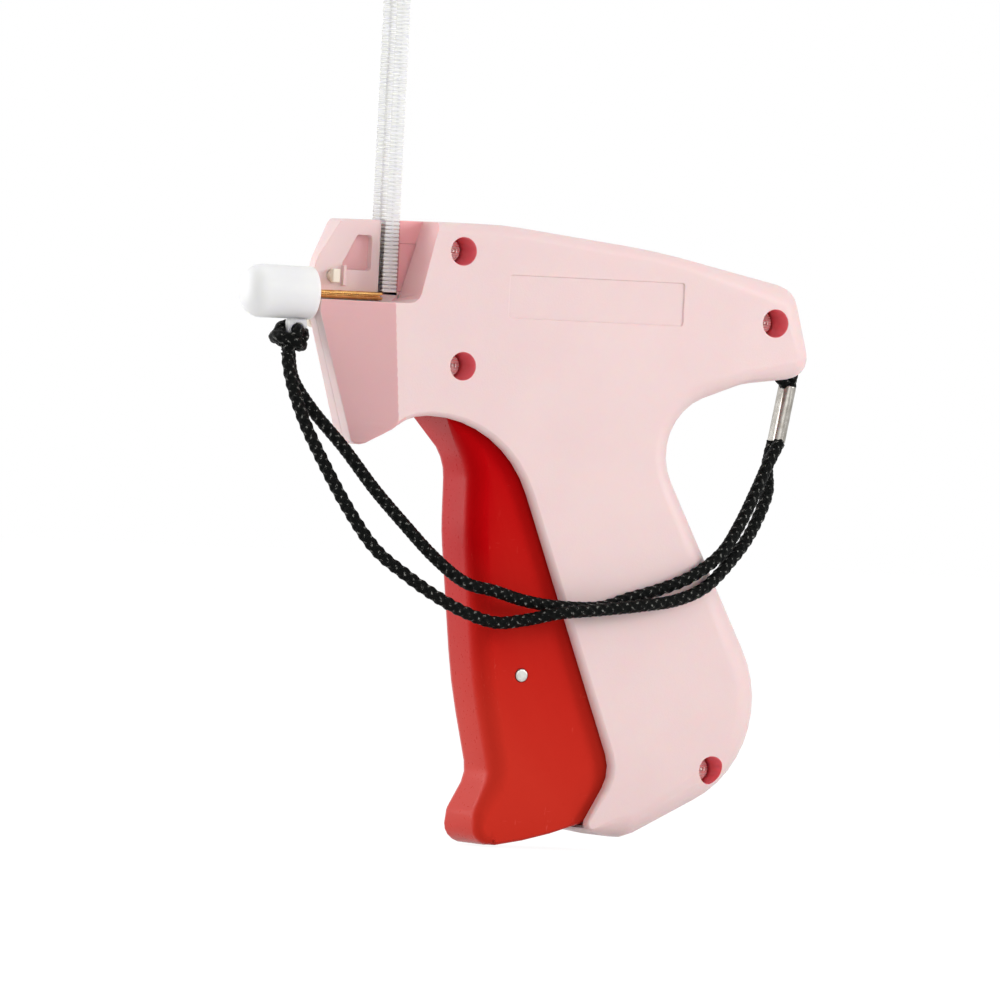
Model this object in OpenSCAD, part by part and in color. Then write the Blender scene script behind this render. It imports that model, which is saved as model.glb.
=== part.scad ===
// Fabric tagging tool with a pistol grip, a needle nose and a strip of plastic fasteners.
// The drawing frame has its zero at the rear end of the needle, on the needle axis.
// X runs to the tail, Y to the right-hand side and Z up; place() moves the zero to the grip centre.

/* [Housing] */
// Half width of the housing across the two shells
half_w = 13; // [12.6:0.1:13.6]
// Thickness of the side walls
wall = 2.6; // [2.2:0.1:3]
// Radius of the deep holes that take the screw heads
screw_hole_r = 3.15; // [2.9:0.05:3.3]
// Radius of the screw shanks
screw_r = 1.3; // [1.1:0.05:1.5]
// Radius of the pillars that the screws run in
pillar_r = 4.2; // [3.9:0.1:4.3]
// Depth of the bare label recess
label_depth = 0.4; // [0.2:0.1:0.6]

/* [Trigger] */
// Gap between the trigger and each side wall
trigger_gap = 1; // [0.7:0.1:1.2]
// Thickness of the trigger shell
trigger_wall = 2; // [1.6:0.1:2.2]
// Radius of the steel pins in the trigger and the lever
pin_r = 1.5; // [1.3:0.05:1.6]

/* [Drive] */
// Half thickness of the drive lever
lever_half_t = 1.8; // [1.4:0.1:2]
// Radius of the push rod
rod_r = 0.52; // [0.46:0.02:0.54]
// Wire radius of the return spring
spring_wire_r = 0.4; // [0.3:0.05:0.45]
// Mean coil radius of the return spring
spring_coil_r = 2.2; // [1.8:0.1:2.4]

/* [Needle and cap] */
// Outer radius of the needle
needle_r = 0.9; // [0.86:0.02:1]
// Outer radius of the needle hub
hub_r = 2.4; // [2.2:0.1:2.6]
// Outer radius of the needle cap
cap_r = 6; // [5.6:0.1:6.2]
// Length of the needle cap
cap_len = 16.5; // [16.2:0.1:17.4]

/* [Fastener clip] */
// Number of fasteners on the clip
clip_count = 96; // [80:1:100]
// Distance from one fastener to the next
clip_pitch = 0.884; // [0.87:0.002:0.9]
// Thickness of one fastener's filament
filament_t = 0.3; // [0.26:0.02:0.34]

/* [Lanyard] */
// Radius of the cord
cord_r = 1.4; // [1.2:0.05:1.4]
// Length of the crimp sleeve
crimp_len = 13; // [12:0.2:14]

/* [Hidden] */
$fn = 32;
// Radial clearance of pins and rods that turn or slide
run_fit = 0.06;
// Radial clearance of pins and screws that stay put
set_fit = 0.02;
// Gap between moving bodies that face each other
free_gap = 0.4;
cavity_w = half_w - wall;
trigger_w = cavity_w - trigger_gap;
grip_centre = [58, 0, -72];

// Trigger pivot, the sweep radii of its sole and of the floor under it, and the angles that they span
pivot = [16, -23];
sole_r = 100;
sole_a = [-81.5, -65.5];
hollow_a = [-81, -66];
floor_r = sole_r + 0.9;
floor_a = [-72, -53];

// Corners of the housing in side view: x, z, corner radius, radius of the side edge
housing_corners = [
    [-10.2, 16.9, 2, 1.2], [-16.4, 7, 6, 1.2], [-16.4, -4, 8, 1.2], [-7, -34.4, 1.5, 1.2],
    [3, -26.2, 12, 1.5], [26.6, -26, 26.5, 1.5], [57.9, -104.4, 9, 1.5],
    polar_corner(sole_r + 0.6, -69.8, 0, 1.6, 0.8), polar_corner(sole_r + 7.2, -64.3, 0, 8, 6),
    [103.6, -98.5, 25.5, 7], [62.6, -25.4, 13.5, 5], [86.5, -15.8, 14, 4],
    [103.6, -13.6, 5, 4.5], [98.6, 6.2, 6, 5.4], [62, 13.3, 160, 3], [24, 17.4, 80, 3]
];
// Angles of the rings that round the side edge
edge_steps = [0, 22.5, 45, 67.5, 90];

// Nose: half width of the front face, and where the slanted cheeks start and end at two heights
nose_half_w = 4;
cheek_top = [-16.2, -2.4];
cheek_low = [-7.2, 0.4, -34];
panel_y = 0.9;
pocket_floor_z = -1.2;
pocket_near = [[-30, pocket_floor_z, 0.2], [3.3, pocket_floor_z, 3], [8.6, 22, 0.2], [-30, 22, 0.2]];
pocket_deep = [[-30, pocket_floor_z, 0.2], [4.1, pocket_floor_z, 3], [11.4, 22, 0.2], [-30, 22, 0.2]];
window_corners = [
    [-9.6, 6.8, 0.6], [-9, 5.6, 0.5], [-2.5, 5.6, 0.6], [-2.5, 13.5, 0.6], [-6.1, 13.5, 0.6]
];
window_depth = 2.2;
// Low rib on the panel in front of the window
panel_rib = [[-9.7, -0.3, 2], [-8.9, panel_y, 6.6]];

// Screw positions in side view, and the depth of the screw heads below the parting plane
screws = [[13.8, 11], [15, -14.7], [92.4, -1.8], [82.1, -103.2]];
head_seat_y = -3.4;
head_h = 1.9;
head_r = screw_hole_r - 0.45;
screw_end_y = 8;
cross_recess = [3.4, 1.8, 0.7];
pillar_y = 7;

// Bare label recess in the left side
label_x = [25.7, 69.2];
label_z = [-3.4, 6.25];
label_corner_r = 0.6;

// Corners of the trigger in side view, with the radius of its side edge
trigger_edge = 4.6;
// What is trimmed off each rounded side to leave it flat
side_trim = 0.06;
trigger_corners = [
    [12.2, -19.4, 3.3, 0.5], [12.8, -25.6, 6, 0.8], [20.3, -36.5, 12, trigger_edge],
    [20.5, -52, 60, trigger_edge], [24.7, -86, 120, trigger_edge], [29.6, -106, 7, trigger_edge],
    [25.6, -114.8, 4, 3.4], polar_corner(sole_r, sole_a[0], -5.1, 4.2, 2.6),
    arc_corner(sole_r, sole_a[0], sole_a[1], 1), polar_corner(sole_r, sole_a[1], 1.9, 1.8, 0.5),
    [60.5, -102, 8, 0.5], [38, -40, 22, 0.5], [21, -19.4, 3.3, 0.5]
];
trigger_hollow = [
    [12.4, -14, 0.5], [12.8 + trigger_wall, -25.2, 5], [20.4 + trigger_wall, -37, 10],
    [20.6 + trigger_wall, -52, 58], [24.8 + trigger_wall, -86, 110], [29.9 + trigger_wall, -106, 6],
    [26.2 + trigger_wall, -115.2, 2], polar_corner(sole_r - trigger_wall, hollow_a[0], -3.5, 1, 0),
    arc_corner(sole_r - trigger_wall, hollow_a[0], hollow_a[1], 0),
    polar_corner(sole_r - trigger_wall, hollow_a[1], 17.5, 0.5, 0), [72, -92, 0.5], [44, -34, 0.5],
    [30, -10, 0.5]
];
trigger_pin = [35.1, -83.5];
trigger_pin_out = 0.3;
ear_washer = 0.3;

// Open chamber in both shells for the trigger, from its opening to the back of the grip
chamber_corners = [
    [9, -18.2, 1.5], [9, -36, 0.5], [26, -48, 0.5], [40, -96, 0.5],
    polar_corner(floor_r, floor_a[0], -4, 0.3, 0), arc_corner(floor_r, floor_a[0], floor_a[1], 0),
    polar_corner(floor_r, floor_a[1], 3, 1, 0), [84.5, -90, 8], [65, -42, 14], [63.5, -18.2, 2]
];
// Room for the drive in the upper body
body_room = [
    [18.4, 14.2, 1], [18.4, 5.8, 0.6], [16.4, 5, 0.6], [16.4, -9.4, 0.6], [20, -12.5, 1],
    [26, -24, 1], [63, -24, 1], [84, -12.6, 3], [86.5, 6.6, 3], [60, 11, 120]
];

// Drive lever: fulcrum, lean at rest and slots for the two driving pins
fulcrum = [41.2, -62.4];
lever_lean = 16.1;
lever_slot_gap = 0.7;
fork_gap = 0.4;
lower_slot = [14.6, 24];
fork_slot = [57, 66];
lever_low_end = 26.5;
lever_top_end = 64.6;
bracket_y = [lever_half_t + free_gap, 5.5];
bracket_back_x = [64, 78];
bracket_z = [-69, -55.8];

// Slider: place of its pin, body, wings and rails
slider_pin_x = 58.35;
slider_pin_z = -3;
slider_len = 14;
slider_body_w = 5;
slider_slot_top = fulcrum[1] + lever_top_end + 0.6;
slider_z = [-7, slider_slot_top + 1.2];
wing_t = 2;
wing_w = cavity_w - 0.5;
rail_gap = 0.3;
rail_t = 2;
rail_x = [16.4, 71];
rod_front_x = 4.2;

// Return spring: from the lever to an anchor pin behind it
spring_arm = 13;
anchor = [65.4, -51];
anchor_r = 1.6;
spring_turns = 6;
spring_leg = 2.4;
spring_eye_out = 4.3;

// Clip and feed wheel
clip_z = 1.35;
bar_x = [0.1, 3.6];
paddle_x = [-0.1, 3.7];
spine_x = 1.85;
spine_half = 0.28;
bar_half_y = 0.36;
bar_h = 0.55;
paddle_y = [6.2, 6.8];
paddle_h = 0.5;
slot_x = [-0.4, 4.1];
slot_y = [-1, 7.3];
wheel_teeth = 24;
wheel_pitch_r = wheel_teeth * clip_pitch / 360 * 180 / PI;
wheel_tip_r = wheel_pitch_r + 0.3;
wheel_root_r = wheel_pitch_r - 0.35;
wheel_row = 7;
wheel_c = [spine_x + wheel_pitch_r, clip_z + (wheel_row - 0.5) * clip_pitch];
wheel_y = [2.7, 5.2];
feed_back_y = 5.6;
cover_y = [panel_y, 2.2];
// What the cover leaves over the ends of the axle and the pin
cover_skin = 0.6;
pin_start_y = cover_y[0] + cover_skin;
axle_r = 0.9;
axle_end_y = 8;
feed_room = [[4.1, 1.2, 0.1], [15, 1.2, 1], [15, 6.1, 1], [9.5, 6.5, 1], [9.5, 12, 1], [4.1, 12, 0.1]];
pawl_pivot = [12.8, 4];
pawl_pin_r = 0.7;
pawl_corners = [
    [8.9, 5.2, 0.2], [9.4, 3.9, 0.3], [12.4, 2.5, 1], [14.2, 2.9, 1.1], [14.1, 5.4, 1.1], [11.6, 5.4, 1]
];
leaf_corners = [
    [10.2, 2, 0.05], [10.2, 1.75, 0.05], [11.6, 1.2, 0.4], [14, 1.2, 0.05], [14, 1.5, 0.05], [11.8, 1.5, 0.4]
];

// Needle, its hub, its lock and its cap
needle_tip_x = -31.5;
needle_bore_r = rod_r + run_fit;
needle_slot_w = 0.5;
hub_x = [-22, -16.4];
lock_c = [-11.9, 4.15];
lock_shaft_r = 1.3;
tongue = [1.8, 2, 3.1];
tongue_y = panel_y - free_gap;
lock_arm_len = 10;
lock_arm_half = 1.9;
// The arm stands clear of the cheek, whose slant runs from cheek_top[0] to cheek_top[1]
cheek_slope = (half_w - nose_half_w) / (cheek_top[1] - cheek_top[0]);
lock_arm_in = nose_half_w + (lock_c[0] + lock_arm_half - cheek_top[0]) * cheek_slope + free_gap / 2;
lock_arm_y = [lock_arm_in, lock_arm_in + 2];
cap_mouth_x = -17.5;
cap_wall = 1.5;
cap_grip_len = 3.6;
cap_dome_r = 4.2;
lug_c = [-20.6, -8];
lug_r = 2.9;
lug_hole_r = 1.6;
lug_half_y = 1.1;

// Lanyard: crimp and hand-chosen route points of the cord
crimp_top = [102.6, 0, -15.9];
crimp_lean = 9.7;
crimp_half = [1.5, 2.7];
strand_step_y = 1.65;
leg_step = [1.1, 1];
upper_route = [
    [-21.6, 0.8, -13.4], [-20.6, 0, -19.5], [-16.5, -2, -26.1], [-9.6, -5, -34.3], [-2.9, -7.5, -43],
    [3.8, -10, -50.6], [10.7, -12, -57.7], [18, -13.2, -63], [25.1, -14.2, -64.7], [32.4, -14.8, -66.6],
    [40.9, -15, -67.6], [50.8, -15, -67.4], [58.2, -15, -65.1], [65.8, -15, -62.8], [73.5, -15, -59.6],
    [81.6, -13, -54.3], [87.4, -10, -47.6], [92.4, -7.2, -40], [96.3, -4.6, -34]
];
lower_route = [
    [-23.6, -2.4, -13.4], [-22.8, -3.2, -19], [-20.7, -4.6, -26.2], [-17.5, -6, -33.5], [-10.8, -9, -46.2],
    [-4.1, -11.5, -56], [3, -13, -61.6], [10.2, -14.4, -66.2], [17.6, -15, -69.7], [25.2, -15, -71.7],
    [32.1, -16, -70.9], [39.6, -18.2, -69], [49.3, -18.4, -67.9], [59.8, -18, -66.6], [69.4, -16.6, -65],
    [77.6, -14.8, -61.6], [86.1, -11, -54.6], [91.9, -7.4, -48.6], [97, -3.6, -40.5], [98.6, 0.2, -34.4]
];
knot_route = [
    [-23.6, -2.4, -13.4], [-23, -3.2, -11], [-21.2, -2.8, -8.9], [-20.6, 0, -8.4], [-20.6, 2.6, -8.9],
    [-21.4, 3, -11.2], [-21.6, 0.8, -13.4]
];
loop_route = [
    [103.9, 0.6, -12.4], [103.8, 0.2, -8.6], [103.1, 0, -5], [101.4, 0, -2.9], [99.7, 0, -4.8],
    [99.2, 0, -8.4], [99.3, -0.5, -12]
];

// Unit vector along v
function unit(v) = v / norm(v);

// Signed turn from angle a0 to angle a1, at most half a circle
function turn(a0, a1) = let (d = a1 - a0) d > 180 ? d - 360 : d < -180 ? d + 360 : d;

// Steps that keep an arc of radius r and sweep d smooth
function arc_steps(r, d) = max(2, round(abs(d) / 18 * sqrt(r / 6)));

// Corner whose rounding is an arc about the trigger pivot
function arc_corner(r, a0, a1, edge) =
    let (mid = (a0 + a1) / 2, reach = r / cos((a1 - a0) / 2))
    [pivot[0] + reach * cos(mid), pivot[1] + reach * sin(mid), r, edge];

// Corner at radius r and angle a about the trigger pivot, moved a step along the sweep there
function polar_corner(r, a, step, round_r, edge) =
    [pivot[0] + r * cos(a) - step * sin(a), pivot[1] + r * sin(a) + step * cos(a), round_r, edge];

// Points x, z, edge radius and outward normal along the rounding of corner b
function corner_arc(a, b, c) =
    let (
        at = [b[0], b[1]],
        u = unit([a[0], a[1]] - at),
        w = unit([c[0], c[1]] - at),
        half = acos(u * w) / 2,
        m = at + unit(u + w) * b[2] / sin(half),
        p = at + u * b[2] / tan(half) - m,
        q = at + w * b[2] / tan(half) - m,
        a0 = atan2(p[1], p[0]),
        d = turn(a0, atan2(q[1], q[0])),
        n = arc_steps(b[2], d),
        side = d > 0 ? 1 : -1
    )
    [for (i = [0:n]) let (t = a0 + d * i / n)
        [m[0] + b[2] * cos(t), m[1] + b[2] * sin(t), b[3], side * cos(t), side * sin(t)]];

// Outline with every corner rounded
function rounded(corners) =
    let (n = len(corners))
    [for (i = [0:n - 1]) each corner_arc(corners[(i + n - 1) % n], corners[i], corners[(i + 1) % n])];

// Side-view points of a rounded outline
function side_points(corners) = [for (p = rounded(corners)) [p[0], p[1]]];

// Ring of a rounded-edge plate of half width w at edge angle a
function edge_ring(outline, w, a) =
    [for (p = outline) let (inset = p[2] * (1 - cos(a)))
        [p[0] - p[3] * inset, -(w - p[2] + p[2] * sin(a)), p[1] - p[4] * inset]];

// Solid skinned over rings with equal point counts, each ring counter-clockwise seen from -Y
module skin(rings) {
    n = len(rings[0]);
    k = len(rings);
    sides = [for (j = [0:k - 2], i = [0:n - 1])
        each [[j * n + i, (j + 1) * n + (i + 1) % n, j * n + (i + 1) % n],
            [j * n + i, (j + 1) * n + i, (j + 1) * n + (i + 1) % n]]];
    first_cap = [for (i = [0:n - 1]) i];
    last_cap = [for (i = [n - 1:-1:0]) (k - 1) * n + i];
    polyhedron([for (r = rings) each r], concat(sides, [first_cap, last_cap]), convexity = 8);
}

// Plate of a side-view outline between two Y values
module side_plate(points, y0, y1) {
    translate([0, y1, 0]) rotate([90, 0, 0]) linear_extrude(y1 - y0, convexity = 8) polygon(points);
}

// Cylinder along Y at a side-view place
module y_rod(at, r, y0, y1) {
    translate([at[0], y1, at[1]]) rotate([90, 0, 0]) cylinder(y1 - y0, r = r);
}

// Cylinder along X on the needle axis
module x_rod(x0, x1, r) {
    translate([x0, 0, 0]) rotate([0, 90, 0]) cylinder(x1 - x0, r = r);
}

// Box between two corners
module span(low, high) {
    translate(low) cube(high - low);
}

// Slot with round ends between two distances along a radius, drawn upright
module round_slot(r, low, high, half_y) {
    y_rod([0, low], r, -half_y, half_y);
    y_rod([0, high], r, -half_y, half_y);
    span([-r, -half_y, low], [r, half_y, high]);
}

// Point on a smooth curve through four route points
function blend_point(a, b, c, d, t) =
    0.5 * (2 * b + (c - a) * t + (2 * a - 5 * b + 4 * c - d) * t * t + (3 * b - a - 3 * c + d) * t * t * t);

// Route with one more point between every two
function smooth_route(p) =
    let (n = len(p))
    [for (i = [0:n - 2]) each [p[i],
        blend_point(p[max(i - 1, 0)], p[i], p[i + 1], p[min(i + 2, n - 1)], 0.5)], p[n - 1]];

// Ring of a round tube square to its path at one point
function tube_ring(p, along, ref, r, sides) =
    let (s = unit(cross(along, ref)), u = cross(along, s))
    [for (k = [0:sides - 1]) p + r * (cos(360 * k / sides) * s + sin(360 * k / sides) * u)];

// Round tube along a path, with the directions of its two end faces
module tube(path, r, sides, ref, start, end) {
    n = len(path);
    skin([for (i = [0:n - 1])
        let (along = i == 0 ? start : i == n - 1 ? end : unit(path[i + 1] - path[i - 1]))
        tube_ring(path[i], along, ref, r, sides)]);
}

// One shell of the housing, on the -Y side, before any opening
module shell_form() {
    outline = rounded(housing_corners);
    past_parting = [for (p = outline) [p[0], 1, p[1]]];
    intersection() {
        skin([past_parting, each [for (a = edge_steps) edge_ring(outline, half_w + side_trim, a)]]);
        span([-60, -half_w, -160], [140, 2, 60]);
    }
}

// Slanted cheek of the nose on the -Y side
module cheek_cut() {
    levels = [for (z = [-44:2:24]) z];
    out = 60;
    skin([for (z = levels)
        let (
            t = min(max(z / cheek_low[2], 0), 1.3),
            front = cheek_top[0] + (cheek_low[0] - cheek_top[0]) * t,
            back = cheek_top[1] + (cheek_low[1] - cheek_top[1]) * t,
            run = (back - front) / (half_w - nose_half_w),
            near = front - run * (nose_half_w + 1),
            far = back + run * 4
        )
        [[near, 1, z], [-out, 1, z], [-out, -half_w - 4, z], [far, -half_w - 4, z]]]);
}

// Open pocket beside the needle, deeper at its back wall
module pocket_cut() {
    near = side_points(pocket_near);
    deep = side_points(pocket_deep);
    skin([[for (p = deep) [p[0], panel_y, p[1]]], [for (p = near) [p[0], -half_w - 1, p[1]]]]);
}

// Rooms in both shells: trigger chamber and drive room
module rooms() {
    side_plate(side_points(chamber_corners), -cavity_w, cavity_w);
    side_plate(side_points(body_room), -cavity_w, cavity_w);
}

// Passages cut through both shells after the ribs are in
module passages() {
    pocket_cut();
    span([slot_x[0], slot_y[0], clip_z - bar_h / 2 - free_gap], [slot_x[1], slot_y[1], 30]);
    x_rod(slot_x[0] - 1, rail_x[0] + 2, rod_r + run_fit);
    y_rod(pivot, pin_r + set_fit, -half_w + 1, half_w - 1);
    y_rod(fulcrum, pin_r + set_fit, -bracket_y[1], bracket_y[1]);
    y_rod(anchor, anchor_r + set_fit, -half_w + 1, half_w - 1);
    tail_loop(cord_r + 0.3);
}

// Ribs of the shell on the -Y side: slider rails, lever bracket and pin bosses
module ribs() {
    rail_in = lever_half_t + free_gap + 0.6;
    low_z = slider_z[0] - rail_gap;
    keep_z = slider_z[0] + wing_t + rail_gap;
    span([rail_x[0], -cavity_w, low_z - rail_t], [rail_x[1], -rail_in, low_z]);
    span([rail_x[0], -cavity_w, keep_z], [rail_x[1], -slider_body_w - free_gap, keep_z + rail_t]);
    span([bracket_back_x[0], -cavity_w, bracket_z[0]], [bracket_back_x[1], -bracket_y[0], bracket_z[1]]);
    span([fulcrum[0], -bracket_y[1], bracket_z[0]], [bracket_back_x[1], -bracket_y[0], bracket_z[1]]);
    y_rod(fulcrum, (bracket_z[1] - bracket_z[0]) / 2, -bracket_y[1], -bracket_y[0]);
    y_rod(pivot, pin_r + 1.6, -cavity_w, -trigger_w - ear_washer);
    y_rod(anchor, anchor_r + 1.4, -cavity_w, -spring_coil_r - 1.6);
    for (at = screws) y_rod(at, pillar_r, -pillar_y, 0);
}

// Shell on the -Y side with its rooms and ribs
module shell_body() {
    difference() {
        shell_form();
        cheek_cut();
        rooms();
        span([-50, 0, -150], [150, 5, 50]);
    }
    ribs();
}

module housing_left() color("mistyrose") {
    difference() {
        shell_body();
        passages();
        for (at = screws) {
            y_rod(at, screw_hole_r, -half_w - 1, head_seat_y);
            y_rod(at, screw_r + run_fit, -half_w, 1);
        }
        side_plate(side_points([for (c = [[0, 0], [1, 0], [1, 1], [0, 1]])
            [label_x[c[0]], label_z[c[1]], label_corner_r]]), -half_w - 1, -half_w + label_depth);
    }
}

module housing_right() color("mistyrose") {
    difference() {
        mirror([0, 1, 0]) shell_body();
        passages();
        for (at = screws) y_rod(at, screw_r + set_fit, -1, screw_end_y + 1);
        side_plate(side_points(feed_room), cover_y[0] - 0.5, feed_back_y);
        y_rod(wheel_c, axle_r + set_fit, 0, axle_end_y);
        y_rod(pawl_pivot, pawl_pin_r + set_fit, 0, axle_end_y);
        side_plate(side_points(window_corners), panel_y - 1, panel_y + window_depth);
        y_rod(lock_c, lock_shaft_r + run_fit, 0, half_w);
    }
    span(panel_rib[0], panel_rib[1]);
}

module housing_screws() color("gray") {
    for (at = screws) difference() {
        union() {
            y_rod(at, head_r, head_seat_y - head_h, head_seat_y);
            y_rod(at, screw_r, head_seat_y - 0.5, screw_end_y);
        }
        for (a = [0, 90]) translate([at[0], head_seat_y - head_h, at[1]]) rotate([0, a, 0])
            cube(cross_recess, center = true);
    }
}

module trigger() color("firebrick") {
    outline = rounded(trigger_corners);
    rings = [for (a = edge_steps) edge_ring(outline, trigger_w + side_trim, a)];
    far_rings = [for (i = [len(rings) - 1:-1:0]) [for (p = rings[i]) [p[0], -p[1], p[2]]]];
    difference() {
        intersection() {
            skin(concat(far_rings, rings));
            span([-50, -trigger_w, -150], [150, trigger_w, 50]);
        }
        side_plate(side_points(trigger_hollow), -trigger_w + trigger_wall, trigger_w - trigger_wall);
        y_rod(pivot, pin_r + run_fit, -half_w, half_w);
        y_rod(trigger_pin, pin_r + set_fit, -half_w, half_w);
    }
}

module trigger_pin() color("silver") {
    reach = trigger_w + trigger_pin_out;
    y_rod(trigger_pin, pin_r, -reach, reach);
}

module trigger_pivot_pin() color("silver") y_rod(pivot, pin_r, -half_w + 1.1, half_w - 1.1);

// Lever drawn upright about its fulcrum, then leaned back
module drive_lever() color("darkgray") {
    translate([fulcrum[0], 0, fulcrum[1]]) rotate([0, lever_lean, 0]) difference() {
        side_plate(side_points([
            [-4.4, 0, 6], [-4.2, -lever_low_end, 3], [4.2, -lever_low_end, 3], [4.4, 0, 6],
            [3.2, lever_top_end, 2.2], [-3.2, lever_top_end, 2.2]
        ]), -lever_half_t, lever_half_t);
        y_rod([0, 0], pin_r + run_fit, -half_w, half_w);
        round_slot(pin_r + lever_slot_gap, -lower_slot[1] + 1.5, -lower_slot[0] - 1.5, half_w);
        round_slot(pin_r + fork_gap, fork_slot[0] + 1.5, fork_slot[1] - 1.5, half_w);
        translate([spring_eye_out - 1.9, 0, spring_arm]) rotate([0, 90, 0])
            cylinder(6, r = spring_wire_r + run_fit);
    }
}

module lever_pivot_pin() color("silver") y_rod(fulcrum, pin_r, -bracket_y[1], bracket_y[1]);

function spring_start() =
    [fulcrum[0] + spring_arm * sin(lever_lean) + spring_eye_out * cos(lever_lean), 0,
        fulcrum[1] + spring_arm * cos(lever_lean) - spring_eye_out * sin(lever_lean)];

module spring_anchor_pin() color("silver") y_rod(anchor, anchor_r, -half_w + 1.1, half_w - 1.1);

module return_spring() color("silver") {
    from = spring_start();
    to = [anchor[0] - anchor_r, 0, anchor[1]];
    run = norm(to - from);
    lean = atan2(from[2] - to[2], to[0] - from[0]);
    steps = 8;
    coil = run - 2 * spring_leg;
    turn_points = [for (i = [0:spring_turns * steps])
        [spring_leg + coil * i / (spring_turns * steps), spring_coil_r * sin(360 * i / steps),
            spring_coil_r * cos(360 * i / steps) - spring_coil_r]];
    first_leg = [[-0.6, 0, 0], [spring_leg - 0.9, 0, 0]];
    last_leg = [[run - spring_leg + 0.9, 0, 0], [run, 0, 0]];
    translate(from) rotate([0, lean, 0])
        tube(concat(first_leg, turn_points, last_leg), spring_wire_r, 6, [1, 1, 1], [1, 0, 0], [1, 0, 0]);
}

module slider() color("dimgray") {
    x0 = slider_pin_x - slider_len / 2;
    x1 = slider_pin_x + slider_len / 2;
    slot = lever_half_t + free_gap;
    difference() {
        union() {
            span([x0, -slider_body_w, slider_z[0]], [x1, slider_body_w, slider_z[1]]);
            span([x0, -wing_w, slider_z[0]], [x1, wing_w, slider_z[0] + wing_t]);
        }
        span([x0 + 1.6, -slot, slider_z[0] - 1], [x1 - 1, slot, slider_slot_top]);
        y_rod([slider_pin_x, slider_pin_z], pin_r + set_fit, -half_w, half_w);
        x_rod(x0 - 1, x0 + 5, rod_r + set_fit);
    }
}

module slider_pin() color("silver") y_rod([slider_pin_x, slider_pin_z], pin_r, -slider_body_w, slider_body_w);

module push_rod() color("silver") x_rod(rod_front_x, slider_pin_x - slider_len / 2 + 1.6, rod_r);

module feed_wheel() color("ivory") {
    step = 360 / wheel_teeth;
    tooth = [[-4.6, wheel_root_r], [-0.9, wheel_tip_r], [0.9, wheel_tip_r], [4.6, wheel_root_r]];
    points = [for (k = [0:wheel_teeth - 1]) each [for (p = tooth)
        [wheel_c[0] + p[1] * cos(180 + k * step + p[0]), wheel_c[1] + p[1] * sin(180 + k * step + p[0])]]];
    difference() {
        side_plate(points, wheel_y[0], wheel_y[1]);
        y_rod(wheel_c, axle_r + run_fit, 0, half_w);
    }
}

module feed_wheel_axle() color("silver") y_rod(wheel_c, axle_r, pin_start_y, axle_end_y);

module feed_cover() color("mistyrose") {
    difference() {
        side_plate(side_points(feed_room), cover_y[0], cover_y[1]);
        y_rod(wheel_c, axle_r + set_fit, pin_start_y, half_w);
        y_rod(pawl_pivot, pawl_pin_r + set_fit, pin_start_y, half_w);
    }
}

module feed_pawl() color("ivory") {
    difference() {
        side_plate(side_points(pawl_corners), wheel_y[0], wheel_y[1]);
        y_rod(pawl_pivot, pawl_pin_r + run_fit, 0, half_w);
    }
}

module pawl_pin() color("silver") y_rod(pawl_pivot, pawl_pin_r, pin_start_y, axle_end_y);

module pawl_spring() color("silver") side_plate(side_points(leaf_corners), wheel_y[0], wheel_y[1]);

module needle() color("goldenrod") {
    difference() {
        x_rod(needle_tip_x, 0, needle_r);
        x_rod(needle_tip_x - 1, 1, needle_bore_r);
        span([needle_tip_x - 1, -2, -needle_slot_w / 2], [1, 0, needle_slot_w / 2]);
        translate([needle_tip_x, 0, -needle_r]) rotate([0, -28, 0]) translate([-2, -3, 0]) cube([9, 6, 4]);
    }
}

module needle_hub() color("goldenrod") {
    difference() {
        x_rod(hub_x[0], hub_x[1], hub_r);
        x_rod(hub_x[0] - 1, hub_x[1] + 1, needle_r + set_fit);
    }
}

module needle_lock() color("antiquewhite") {
    span([lock_c[0] - tongue[0] / 2, tongue_y - tongue[1], lock_c[1] - tongue[2] / 2],
        [lock_c[0] + tongue[0] / 2, tongue_y, lock_c[1] + tongue[2] / 2]);
    y_rod(lock_c, lock_shaft_r, tongue_y - tongue[1] / 2, lock_arm_y[1]);
    translate([lock_c[0], 0, lock_c[1]]) lock_arm();
}

// Thumb arm of the needle lock, hanging down from its shaft
module lock_arm() {
    y_rod([0, 0], lock_arm_half, lock_arm_y[0], lock_arm_y[1]);
    y_rod([0, -lock_arm_len], lock_arm_half, lock_arm_y[0], lock_arm_y[1] + 0.8);
    span([-lock_arm_half, lock_arm_y[0], -lock_arm_len], [lock_arm_half, lock_arm_y[1], 0]);
}

module needle_cap() color("whitesmoke") {
    inner_r = cap_r - cap_wall;
    tip = cap_len;
    inner = [[0, -1], [hub_r + run_fit, -1], [hub_r + run_fit, cap_grip_len], [inner_r, cap_grip_len + 1.2],
        [inner_r, tip - cap_dome_r - 1], [inner_r - 2.2, tip - 2.4], [0, tip - cap_wall]];
    difference() {
        union() {
            translate([cap_mouth_x, 0, 0]) rotate([0, -90, 0]) rotate_extrude() intersection() {
                union() {
                    square([cap_r, tip - cap_dome_r]);
                    translate([0, tip - cap_dome_r]) square([cap_r - cap_dome_r, cap_dome_r]);
                    translate([cap_r - cap_dome_r, tip - cap_dome_r]) circle(cap_dome_r);
                }
                square([cap_r, tip]);
            }
            y_rod(lug_c, lug_r, -lug_half_y, lug_half_y);
        }
        translate([cap_mouth_x, 0, 0]) rotate([0, -90, 0]) rotate_extrude() polygon(inner);
        y_rod([lug_c[0], lug_c[1] - 0.4], lug_hole_r, -half_w, half_w);
    }
}

// Height of one fastener on the clip
function clip_row_z(k) = clip_z + k * clip_pitch;

// Side-view points of one bar that leaves the spine at x0 and ends at x1
function bar_points(x0, x1, z, half) = [[x0, z - half], [x1, z - half], [x1, z + half], [x0, z + half]];

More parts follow.
